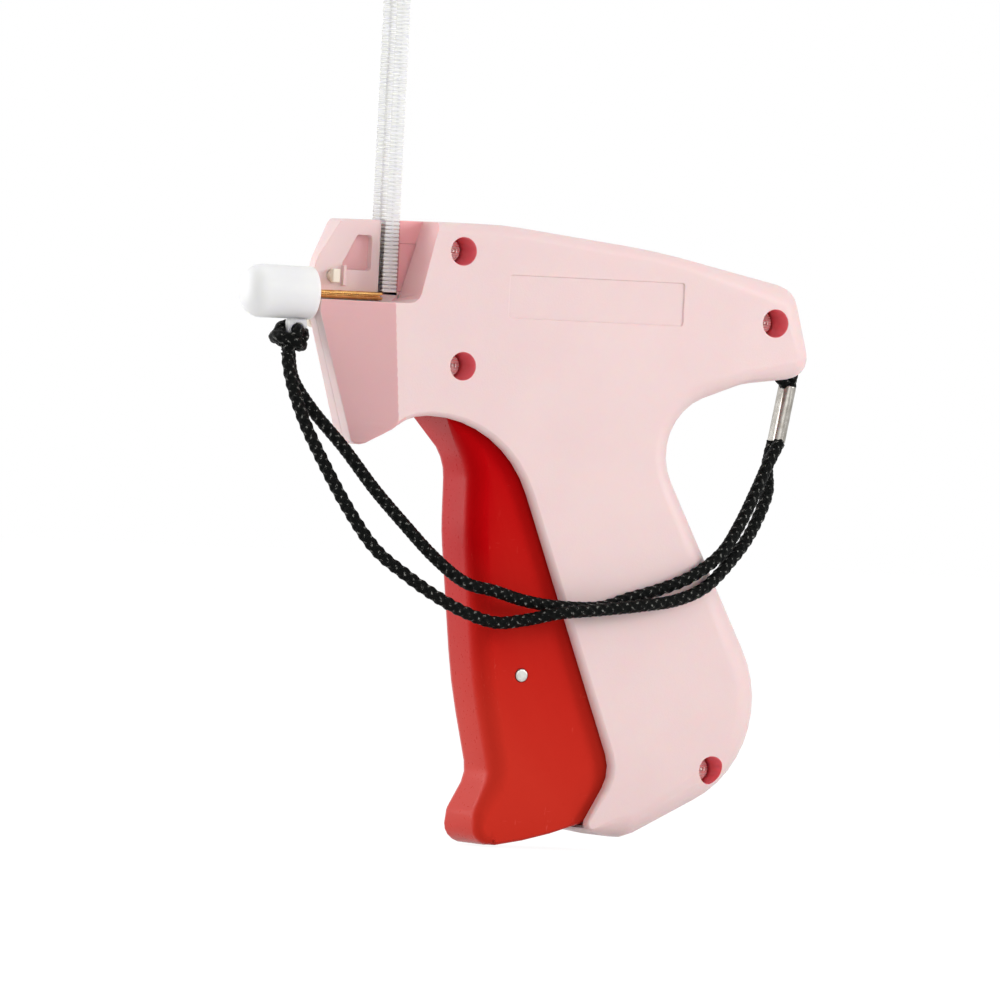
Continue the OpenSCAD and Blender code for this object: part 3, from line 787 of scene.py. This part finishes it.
@dataclass
class Trigger(SubAssembly):
    """The squeeze trigger and the steel pin through it."""

    edge_mm: float = 0.3
    pin_edge_mm: float = 0.35
    # Heights over which the trigger is painted lighter and oranger towards the bottom, as painted sheen
    sheen_paint_z_mm: Range = (-62.0, -96.0)

    def build(self) -> None:
        """Make and dress the trigger and its pin."""
        trigger = Bench.copy_node("trigger", "squeeze_trigger")
        Bench.soften(trigger, self.edge_mm)
        # Painted sheen: a share from 0 at the top to 1 at the bottom of this span
        start, end = self.sheen_paint_z_mm
        painted_sheen = np.clip((Bench.spots(trigger.data)[:, 2] - start) / (end - start), 0, 1)
        Bench.mark(trigger.data, PAINTED_LIGHT_MARK, painted_sheen)
        self.fit(trigger, Body.TRIGGER, ["trigger"], "trigger_plastic", Finish.TRIGGER)
        pin = Bench.copy_node("trigger_pin", "trigger_cross_pin")
        Bench.soften(pin, self.pin_edge_mm, steps=FINE_STEPS)
        self.fit(pin, Body.TRIGGER, ["trigger_pin"], "steel", Finish.STEEL)


@dataclass
class Drive(SubAssembly):
    """Lever, slider, rods and feed works inside the housing, which keep their solids."""

    def build(self) -> None:
        """Dress every inner solid."""
        wears = {
            Finish.LEVER: ["drive_lever", "slider"],
            Finish.FEED: ["feed_wheel", "feed_pawl"],
            Finish.SPRING: ["return_spring", "pawl_spring"],
            Finish.STEEL: [
                "trigger_pivot_pin",
                "lever_pivot_pin",
                "spring_anchor_pin",
                "slider_pin",
                "push_rod",
                "feed_wheel_axle",
                "pawl_pin",
            ],
        }
        for finish, nodes in wears.items():
            for node in nodes:
                self.shelf.dress(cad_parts[node], finish)
                LOG.info("%s: %s", node, finish.value.name)


@dataclass
class Needle(SubAssembly):
    """Needle, hub, lock and the cap with its strap lug."""

    cap_radius_mm: float = 6.0
    cap_length_mm: float = 16.5
    cap_wall_mm: float = 1.5
    mouth_x_mm: float = -17.5
    dome_mm: float = 4.4
    dome_steps: int = 8
    core_radius_mm: float = 0.2
    # Stations behind the mouth, and how far the outside stands in there
    rim: tuple[Range, ...] = (
        (6.6, 0.06), (2.2, 0.12), (1.4, 0.04), (0.9, 0), (0.35, 0), (0.08, 0.14), (0, 0.45),
    )
    grip_radius_mm: float = 2.46
    grip_mm: Range = (0.4, 3.6)
    bore_start_mm: float = 4.8
    sides: int = 64
    needle_edge_mm: float = 0.06
    lock_edge_mm: float = 0.25
    eye: Range = (-20.6, -8.4)
    eye_radius_mm: float = 1.55
    lug_half_width_mm: float = 2.3
    lug_thickness_mm: float = 2.2
    lug_rise_mm: float = 1.3
    lug_edge_mm: float = 0.3

    def build(self) -> None:
        """Make and dress the needle pieces."""
        for node, name in (("needle", "hollow_needle"), ("needle_hub", "needle_collar")):
            piece = Bench.copy_node(node, name)
            Bench.soften(piece, self.needle_edge_mm)
            self.fit(piece, Body.HOUSING, [node], "needle_brass", Finish.BRASS)
        lock = Bench.copy_node("needle_lock", "needle_lock_lever")
        Bench.soften(lock, self.lock_edge_mm, steps=FINE_STEPS)
        self.fit(lock, Body.NEEDLE_LOCK, ["needle_lock"], "lock_plastic", Finish.LOCK)
        self.fit(self.cap(), Body.NEEDLE_CAP, ["needle_cap"], "cap_plastic", Finish.CAP)

    def cap(self) -> bpy.types.Object:
        """Turn the cap with its domed tip and lipped mouth, and add the lug.

        Returns:
            The cap in place.
        """
        r, tip, dome = self.cap_radius_mm, self.cap_length_mm, self.dome_mm
        outside = [(tip, self.core_radius_mm), (tip, r - dome)]
        for step in range(1, self.dome_steps + 1):
            a = math.radians(90 - step * 90 / self.dome_steps)
            outside.append((tip - dome + dome * math.sin(a), r - dome + dome * math.cos(a)))
        outside += [(station, r - inset) for station, inset in self.rim]
        grip_start, grip_end = self.grip_mm
        bore_r = r - self.cap_wall_mm
        inside = [
            (0, self.grip_radius_mm + 0.5),
            (grip_start, self.grip_radius_mm),
            (grip_end, self.grip_radius_mm),
            (self.bore_start_mm, bore_r),
            (tip - dome - 1, bore_r),
            (tip - 2.4, bore_r - 2.2),
            (tip - self.cap_wall_mm, self.core_radius_mm),
        ]
        cap = Bench.turned("frosted_needle_cap", outside + inside, self.sides)
        lie = Matrix.Rotation(math.radians(-90), 4, "Y")
        cap.data.transform(Matrix.Translation(at(self.mouth_x_mm, 0, 0)) @ lie)
        Bench.smooth(cap, 40)
        return Bench.join([cap, self.lug()], "frosted_needle_cap")

    def lug(self) -> bpy.types.Object:
        """Model the strap lug under the cap: a pierced tab with rounded edges.

        Returns:
            The lug in place.
        """
        x, z = self.eye
        Bench.clear()
        bpy.ops.mesh.primitive_cylinder_add(
            vertices=48,
            radius=self.lug_half_width_mm * MM,
            depth=self.lug_thickness_mm * MM,
            location=at(x, 0, z),
            rotation=(math.radians(90), 0, 0),
        )
        lug = bpy.context.object
        Bench.settle(lug)
        Bench.edit(lug)
        Bench.pick(lug, lambda spot: spot.z > at(x, 0, z).z + 0.01 * MM)
        bpy.ops.transform.translate(value=(0, 0, self.lug_rise_mm * MM))
        Bench.clear()
        bpy.ops.mesh.primitive_cylinder_add(
            vertices=48,
            radius=self.eye_radius_mm * MM,
            depth=3 * self.lug_thickness_mm * MM,
            location=at(x, 0, z),
            rotation=(math.radians(90), 0, 0),
        )
        drill = bpy.context.object
        Bench.apply(lug, "BOOLEAN", object=drill, operation="DIFFERENCE")
        bpy.data.objects.remove(drill)
        Bench.soften(lug, self.lug_edge_mm, steps=FINE_STEPS)
        return lug


@dataclass
class Clip(SubAssembly):
    """The ladder of plastic fasteners that stands in the slot.

    A block has its lowest and highest corners, with the height above the first fastener, and its edges.
    """

    count: int = 96
    pitch_mm: float = 0.884
    first_z_mm: float = 1.35
    bar: Block = ((0.1, -0.36, -0.39), (3.6, 0.36, 0.39), 0.2)
    paddle: Block = ((-0.1, 6.2, -0.37), (3.7, 6.8, 0.37), 0.17)
    filament: Block = ((1.7, 0.2, -0.15), (2.0, 6.4, 0.15), 0.05)
    spine_x_mm: Range = (1.57, 2.13)
    spine_sides_mm: tuple[Range, ...] = ((-0.3, 0.3), (6.25, 6.75))
    spine_edge_mm: float = 0.1

    def build(self) -> None:
        """Make and dress the clip."""
        blocks = [self.block(*sizes) for sizes in (self.bar, self.paddle, self.filament)]
        fastener = Bench.join(blocks, "fastener_ladder")
        Bench.apply(
            fastener,
            "ARRAY",
            count=self.count,
            use_relative_offset=False,
            use_constant_offset=True,
            constant_offset_displace=(0, 0, self.pitch_mm * MM),
        )
        x0, x1 = self.spine_x_mm
        height = (self.count - 1) * self.pitch_mm
        spines = [
            self.block((x0, y0, 0), (x1, y1, height), self.spine_edge_mm) for y0, y1 in self.spine_sides_mm
        ]
        clip = Bench.join([fastener, *spines], "fastener_ladder")
        Bench.smooth(clip, 40)
        self.fit(clip, Body.CLIP, ["fastener_clip"], "clip_plastic", Finish.CLIP)

    def block(self, low: Place, high: Place, edge_mm: float) -> bpy.types.Object:
        """Shape one moulded block of the clip.

        Args:
            low: Lowest corner.
            high: Highest corner.
            edge_mm: Width of its rounded edges.

        Returns:
            The block in place.
        """
        a = at(low[0], low[1], self.first_z_mm + low[2])
        b = at(high[0], high[1], self.first_z_mm + high[2])
        Bench.clear()
        bpy.ops.mesh.primitive_cube_add(size=1, location=(a + b) / 2, scale=b - a)
        block = bpy.context.object
        Bench.settle(block)
        Bench.edit(block)
        bpy.ops.mesh.bevel(offset=edge_mm * MM, segments=1, affect="EDGES")
        Bench.clear()
        return block


@dataclass
class Lanyard(SubAssembly):
    """Braided cord from the cap's lug to the tail, with its knot and its crimp."""

    radius_mm: float = 1.4
    plies: int = 4
    lay_mm: float = 2.5
    relief_mm: float = 0.34
    over_share: float = 0.3
    sides: int = 24
    ring_step_mm: float = 0.22
    crimp_top: Place = (102.6, 0, -15.9)
    crimp_lean: float = 9.7
    crimp_length_mm: float = 13
    crimp_edge_mm: float = 0.25
    strand_step_mm: float = 1.65
    leg_step_mm: Range = (1.1, 1)
    tail_exit: Place = (103.9, 0, -12.4)
    bend_start: Place = (60, 0, -60)
    bend_end: Place = (-20, 0, -16)
    wrap_steps: int = 12
    curve_steps: int = 24
    wraps: tuple[tuple[Place, Place, float], ...] = (
        ((-22.6, -0.4, -10.9), (2.9, 3.4, -0.9), 0.0),
        ((-21.8, -0.2, -9.2), (2.6, 2.9, 0.4), 1.6),
    )

    upper_route: tuple[Place, ...] = (
        (-21.6, 0.8, -13.4), (-20.6, 0, -19.5), (-16.5, -2, -26.1), (-9.6, -5, -34.3), (-2.9, -7.5, -43),
        (3.8, -10, -50.6), (10.7, -12, -57.7), (18, -13.2, -63), (25.1, -14.2, -64.7), (32.4, -14.8, -66.6),
        (40.9, -15, -67.6), (50.8, -15, -67.4), (58.2, -15, -65.1), (65.8, -15, -62.8), (73.5, -15, -59.6),
        (81.6, -13, -54.3), (87.4, -10, -47.6), (92.4, -7.2, -40), (96.3, -4.6, -34),
    )
    lower_route: tuple[Place, ...] = (
        (-23.6, -2.4, -13.4), (-22.8, -3.2, -19), (-20.7, -4.6, -26.2), (-17.5, -6, -33.5),
        (-10.8, -9, -46.2), (-4.1, -11.5, -56), (3, -13, -61.6), (10.2, -14.4, -66.2), (17.6, -15, -69.7),
        (25.2, -15, -71.7), (32.1, -16, -70.9), (39.6, -18.2, -69), (49.3, -18.4, -67.9),
        (59.8, -18, -66.6), (69.4, -16.6, -65), (77.6, -14.8, -61.6), (86.1, -11, -54.6),
        (91.9, -7.4, -48.6), (97, -3.6, -40.5), (98.6, 0.2, -34.4),
    )
    knot_route: tuple[Place, ...] = (
        (-23.6, -2.4, -13.4), (-23, -3.2, -11), (-21.2, -2.8, -8.9), (-20.6, 0, -8.4), (-20.6, 2.6, -8.9),
        (-21.4, 3, -11.2), (-21.6, 0.8, -13.4),
    )
    loop_route: tuple[Place, ...] = (
        (103.9, 0.6, -12.4), (103.8, 0.2, -8.6), (103.1, 0, -5), (101.4, 0, -2.9), (99.7, 0, -4.8),
        (99.2, 0, -8.4), (99.3, -0.5, -12),
    )

    def build(self) -> None:
        """Make and dress the cord, the knot and the crimp."""
        crimp = Bench.copy_node("lanyard_crimp", "crimp_sleeve")
        Bench.soften(crimp, self.crimp_edge_mm, steps=FINE_STEPS)
        self.fit(crimp, Body.HOUSING, ["lanyard_crimp"], "crimp_metal", Finish.CRIMP)
        lean = math.radians(self.crimp_lean)
        along = Vector((math.sin(lean), 0, math.cos(lean)))
        side = Vector((along.z, 0, -along.x))
        top = Vector(self.crimp_top)
        foot = top - along * self.crimp_length_mm
        step = Vector((0, self.strand_step_mm, 0))
        leg = side * self.leg_step_mm[0] + Vector((0, self.leg_step_mm[1], 0))
        loop = self.braid("tail_loop", [top + leg, *map(Vector, self.loop_route), top - leg])[0]
        self.fit(loop, Body.HOUSING, ["lanyard_tail_loop"], "cord", Finish.CORD)
        knot = self.braid("cap_knot", [Vector(p) for p in self.knot_route])[0]
        turns = [self.braid("knot_turn", self.wrap_route(*wrap))[0] for wrap in self.wraps]
        knot = Bench.join([knot, *turns], "cap_knot")
        self.fit(knot, Body.NEEDLE_CAP, ["lanyard_knot"], "cord", Finish.CORD)
        upper_points = [foot - step, *map(Vector, reversed(self.upper_route))]
        lower_points = [foot + step, *map(Vector, reversed(self.lower_route))]
        upper, upper_path = self.braid("upper_strand", upper_points)
        lower, lower_path = self.braid("lower_strand", lower_points)
        self.hang(upper, "lanyard_strand_upper", upper_path, at(*foot), [knot])
        self.hang(lower, "lanyard_strand_lower", lower_path, at(*self.tail_exit), [crimp, loop])

    def hang(
        self,
        strand: bpy.types.Object,
        node: str,
        path: list[Vector],
        leaves: Vector,
        held: list[bpy.types.Object],
    ) -> None:
        """Args:
            strand: The braided tube.
            node: Solid that it stands for.
            path: Points that it follows; not used.
            leaves: Where the cord leaves the tool or the crimp; not used.
            held: Pieces on the cord; not used.
        """
        self.shelf.dress(strand, Finish.CORD)
        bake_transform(strand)
        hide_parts(node)

    def braid(self, name: str, route: list[Vector]) -> tuple[bpy.types.Object, list[Vector]]:
        """Plait a cord along a route.

        Args:
            name: Name of the piece.
            route: Points that the cord passes, in millimetres.

        Returns:
            The cord, and the even points of its centreline in metres.
        """
        centre = self.even_path(route)
        along = np.gradient(centre, axis=0)
        along /= np.linalg.norm(along, axis=1)[:, None]
        across = self.carried(along)
        other = np.cross(along, across)
        run = np.arange(len(centre)) * self.ring_step_mm
        angle = np.arange(self.sides) * 2 * math.pi / self.sides
        right = self.plies * angle[None, :] + 2 * math.pi * run[:, None] / self.lay_mm
        left = self.plies * angle[None, :] - 2 * math.pi * run[:, None] / self.lay_mm
        right_ply = np.cos(right / 2)
        left_ply = np.cos(left / 2)
        over = self.over_share * right_ply * left_ply
        lift = np.maximum(np.abs(right_ply) + over, np.abs(left_ply) - over)
        radius = self.radius_mm + self.relief_mm * (lift - 1)
        ring = np.cos(angle)[None, :, None] * across[:, None, :]
        ring = ring + np.sin(angle)[None, :, None] * other[:, None, :]
        points = centre[:, None, :] + radius[:, :, None] * ring
        origin = np.array(GRIP_CENTRE)
        mesh = bpy.data.meshes.new(name)
        places = (points.reshape(-1, 3) - origin) * MM
        mesh.from_pydata(places.tolist(), [], self.tube_faces(len(centre)))
        crest = (lift - lift.min()) / (lift.max() - lift.min())
        Bench.mark(mesh, CREST_MARK, crest)
        self.unwrap(mesh, run)
        cord = bpy.data.objects.new(name, mesh)
        bpy.context.scene.collection.objects.link(cord)
        Bench.smooth(cord, 70)
        return cord, [Vector(p) for p in (centre - origin) * MM]

    def wrap_route(self, centre: Place, reach: Place, dip: float) -> list[Vector]:
        """Give one turn of cord that binds the knot, from the hidden side round to where it began.

        Args:
            centre: Middle of the turn.
            reach: How far it goes sideways and to the front, and how far its tail side stands up.
            dip: How far it drops at the front and rises at the back.

        Returns:
            Points of the turn.
        """
        across, deep, tilt = reach
        route = []
        for k in range(self.wrap_steps + 1):
            a = math.radians(90 + 360 * k / self.wrap_steps)
            east = math.cos(a)
            north = math.sin(a)
            route.append(Vector(centre) + Vector((across * east, deep * north, tilt * east + dip * north)))
        return route

    def even_path(self, route: list[Vector]) -> np.ndarray:
        """Give even points on a smooth curve through a route.

        Args:
            route: Points to pass, in millimetres.

        Returns:
            One row for each point, ring_step_mm apart.
        """
        p = np.array([list(r) for r in route])
        before = np.vstack([p[:1], p[:-2]])
        after = np.vstack([p[2:], p[-1:]])
        dense = []
        a, b, c, d = before, p[:-1], p[1:], after
        square = 2 * a - 5 * b + 4 * c - d
        cube = 3 * b - a - 3 * c + d
        for t in np.linspace(0, 1, self.curve_steps, endpoint=False):
            dense.append(0.5 * (2 * b + (c - a) * t + square * t**2 + cube * t**3))
        curve = np.vstack([np.stack(dense, axis=1).reshape(-1, 3), p[-1:]])
        run = np.concatenate([[0], np.cumsum(np.linalg.norm(np.diff(curve, axis=0), axis=1))])
        stations = np.linspace(0, run[-1], max(8, round(run[-1] / self.ring_step_mm)))
        return np.stack([np.interp(stations, run, curve[:, k]) for k in range(3)], axis=1)

    def carried(self, along: np.ndarray) -> np.ndarray:
        """Carry one side direction along a path without twist.

        Args:
            along: Directions of the path.

        Returns:
            The side direction at each point.
        """
        across = np.zeros_like(along)
        side = np.cross(along[0], (0.3, 1, 0.2))
        for i, direction in enumerate(along):
            side = side - direction * (side @ direction)
            side /= np.linalg.norm(side)
            across[i] = side
        return across

    def tube_faces(self, rings: int) -> list[tuple[int, ...]]:
        """List the faces of a tube with closed ends.

        Args:
            rings: Rings of points along the tube.

        Returns:
            The points of each face.
        """
        n = self.sides
        faces: list[tuple[int, ...]] = []
        for j in range(rings - 1):
            for i in range(n):
                k = (i + 1) % n
                faces.append((j * n + i, j * n + k, (j + 1) * n + k, (j + 1) * n + i))
        faces.append(tuple(range(n - 1, -1, -1)))
        faces.append(tuple((rings - 1) * n + i for i in range(n)))
        return faces

    def unwrap(self, mesh: bpy.types.Mesh, run: np.ndarray) -> None:
        """Lay the cord's UV map: once round in u, and as many girths along in v.

        Args:
            mesh: The tube.
            run: Distance along the cord of each ring, in millimetres.
        """
        uv = mesh.uv_layers.new(name="braid")
        girth = 2 * math.pi * self.radius_mm
        for face in mesh.polygons:
            turned = [mesh.loops[i].vertex_index % self.sides for i in face.loop_indices]
            for loop, spot in zip(face.loop_indices, turned):
                past_seam = spot == 0 and max(turned) == self.sides - 1
                ring = mesh.loops[loop].vertex_index // self.sides
                uv.data[loop].uv = ((self.sides if past_seam else spot) / self.sides, run[ring] / girth)


@dataclass(frozen=True)
class Panel:
    """Soft square lamp, with its place off the tool in metres and its power in watts."""

    name: str
    offset: Place
    size: float
    watts: float


@dataclass
class Studio:
    """Camera, soft lights, white surround and pale floor."""

    yaw: float = -25.4
    rise: float = 0.93
    roll: float = 2.9
    lens: float = 640.0
    distance: float = 4.0
    target: Place = (32.0, 0, -44.5)
    near_clip: float = 0.01
    floor_size: float = 6.0
    floor_gap_mm: float = 0.5
    floor_grey: float = 0.85
    floor_glow: float = 1.1
    glow_share: float = 0.85
    ambient: float = 0.47
    panels: tuple[Panel, ...] = (
        Panel("key_panel", (0.75, -0.8, 0.35), 0.4, 5.6),
        Panel("fill_panel", (-0.35, -0.95, 0.45), 0.8, 2.4),
        Panel("left_panel", (-0.7, 0.65, 0.2), 0.6, 6.0),
        Panel("top_panel", (0.05, 0.15, 1.0), 0.6, 2.5),
    )

    def build(self) -> None:
        """Set up everything round the tool."""
        bpy.context.scene.view_settings.view_transform = "Standard"
        self.camera()
        self.surround()
        self.floor()
        for panel in self.panels:
            self.lamp(panel)

    def camera(self) -> None:
        """Place the camera at the photograph's view."""
        a = math.radians(self.yaw)
        e = math.radians(self.rise)
        back = Vector((math.sin(a) * math.cos(e), -math.cos(a) * math.cos(e), math.sin(e)))
        data = bpy.data.cameras.new("camera")
        data.lens = self.lens
        data.clip_start = self.near_clip
        camera = bpy.data.objects.new("camera", data)
        camera.location = at(*self.target) + back * self.distance
        camera.rotation_mode = "QUATERNION"
        turn = Quaternion((0, 0, 1), math.radians(self.roll))
        camera.rotation_quaternion = (-back).to_track_quat("-Z", "Y") @ turn
        bpy.context.scene.collection.objects.link(camera)
        bpy.context.scene.camera = camera

    def surround(self) -> None:
        """Make a world that is white to look at and softer as a light."""
        world = bpy.data.worlds.new("white_surround")
        world.use_nodes = True
        tree = world.node_tree
        seen = tree.nodes["Background"]
        seen.inputs["Color"].default_value = (1, 1, 1, 1)
        light = tree.nodes.new("ShaderNodeBackground")
        light.inputs["Color"].default_value = (1, 1, 1, 1)
        light.inputs["Strength"].default_value = self.ambient
        mix = tree.nodes.new("ShaderNodeMixShader")
        tree.links.new(self.looked_at(tree), mix.inputs["Fac"])
        tree.links.new(light.outputs["Background"], mix.inputs[1])
        tree.links.new(seen.outputs["Background"], mix.inputs[2])
        tree.links.new(mix.outputs["Shader"], tree.nodes["World Output"].inputs["Surface"])
        bpy.context.scene.world = world

    def looked_at(self, tree: bpy.types.NodeTree) -> Socket:
        """Tell rays that see the surround from rays that carry its light.

        Args:
            tree: Node tree to add to.

        Returns:
            1 for camera, glossy and transmission rays, else 0.
        """
        path = tree.nodes.new("ShaderNodeLightPath")
        seen = path.outputs["Is Camera Ray"]
        for name in ("Is Glossy Ray", "Is Transmission Ray"):
            either = tree.nodes.new("ShaderNodeMath")
            either.operation = "MAXIMUM"
            tree.links.new(seen, either.inputs[0])
            tree.links.new(path.outputs[name], either.inputs[1])
            seen = either.outputs["Value"]
        return seen

    def floor(self) -> None:
        """Lay a pale floor just under the tool that looks white and keeps a soft shadow."""
        Bench.clear()
        height = CAD_BOX[0].z - self.floor_gap_mm * MM
        bpy.ops.mesh.primitive_plane_add(size=self.floor_size, location=(0, 0, height))
        floor = bpy.context.object
        floor.name = "pale_floor"
        Bench.settle(floor)
        board = NodeBoard("pale_floor")
        board.plain(Base_Color=(*[self.floor_grey] * 3, 1), Roughness=0.9)
        glow = board.add("ShaderNodeEmission")
        glow.inputs["Strength"].default_value = self.floor_glow
        mix = board.add("ShaderNodeMixShader")
        share = board.reckon("MULTIPLY", self.looked_at(board.tree), self.glow_share)
        board.link(share, mix.inputs["Fac"])
        board.link(board.shader.outputs["BSDF"], mix.inputs[1])
        board.link(glow.outputs["Emission"], mix.inputs[2])
        board.link(mix.outputs["Shader"], board.tree.nodes["Material Output"].inputs["Surface"])
        floor.data.materials.append(board.material)

    def lamp(self, panel: Panel) -> None:
        """Hang one soft lamp that faces the tool.

        Args:
            panel: The lamp's name, place, size and power.
        """
        offset = Vector(panel.offset)
        data = bpy.data.lights.new(panel.name, "AREA")
        data.size = panel.size
        data.energy = panel.watts
        lamp = bpy.data.objects.new(panel.name, data)
        lamp.location = at(*self.target) + offset
        lamp.rotation_mode = "QUATERNION"
        lamp.rotation_quaternion = (-offset).to_track_quat("-Z", "Y")
        bpy.context.scene.collection.objects.link(lamp)


def main() -> None:
    """Build the sub-assemblies in order and set up the studio."""
    logging.basicConfig(level=logging.INFO, format="%(message)s")
    shelf = FinishShelf()
    for part in (Housing, Trigger, Drive, Needle, Clip, Lanyard):
        LOG.info("building %s", part.__name__)
        part(shelf).build()
    Studio().build()
    Bench.clear()


if __name__ == "__main__":
    main()
